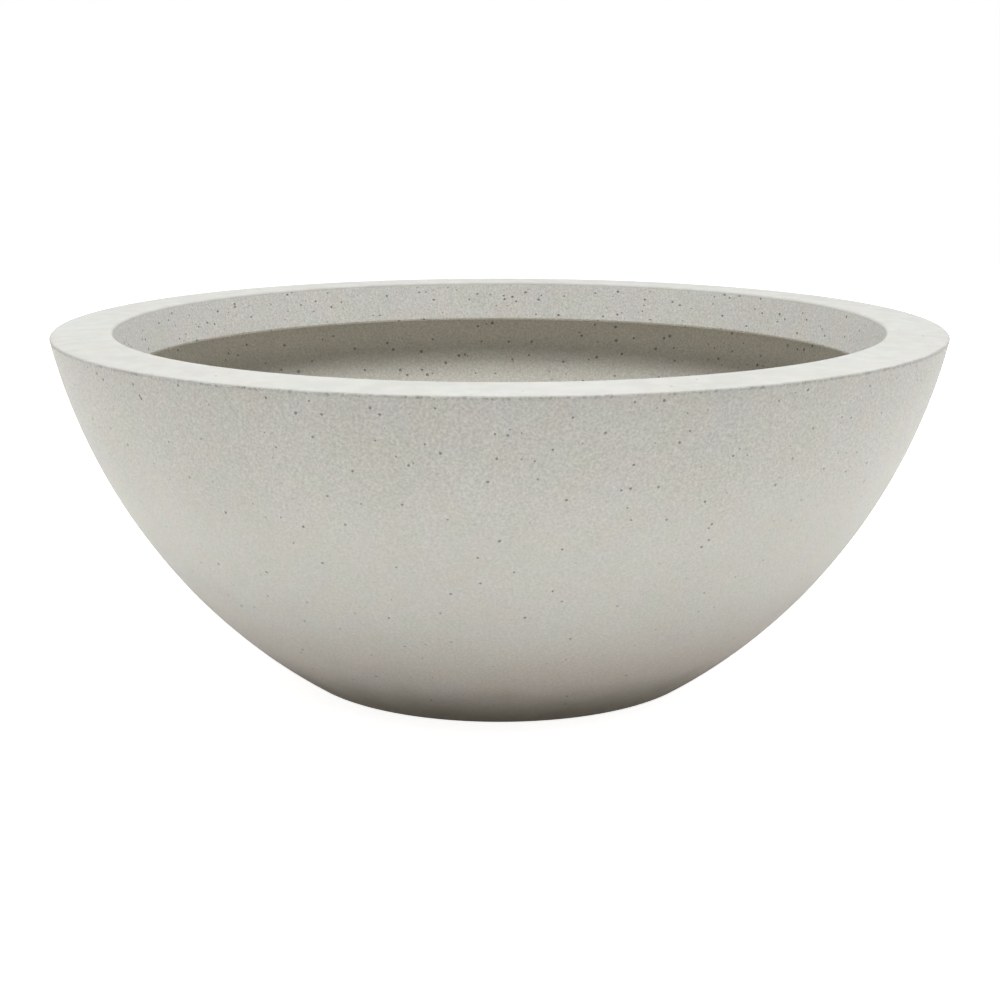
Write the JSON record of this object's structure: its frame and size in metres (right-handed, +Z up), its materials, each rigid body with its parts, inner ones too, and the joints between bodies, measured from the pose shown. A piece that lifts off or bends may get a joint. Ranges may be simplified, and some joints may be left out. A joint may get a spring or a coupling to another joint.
{
  "type": "bowl planter",
  "caption": "Wide, low concrete bowl planter with a curved side, a flat rim, a turned-down inner lip, a flat foot and a lift-out rubber drain plug.",
  "frame": {"origin": "on the ground, under the middle of the bowl", "axes": "+Z up along the bowl's axis, out of its mouth; +X along the width of the plug's tab"},
  "size_m": [0.6, 0.6, 0.2399],
  "materials": {
    "concrete": "matt cast concrete, fine sandy grain with small pinholes",
    "plug_rubber": "matt moulded rubber"
  },
  "bodies": {
    "bowl": {"bowl_shell": "concrete"},
    "plug": {"drain_plug": "plug_rubber"}
  },
  "joints": [
    {"name": "plug_lift", "type": "slide", "parent": "bowl", "child": "plug", "axis": [0, 0, 1], "range_m": [0, 0.25]}
  ]
}
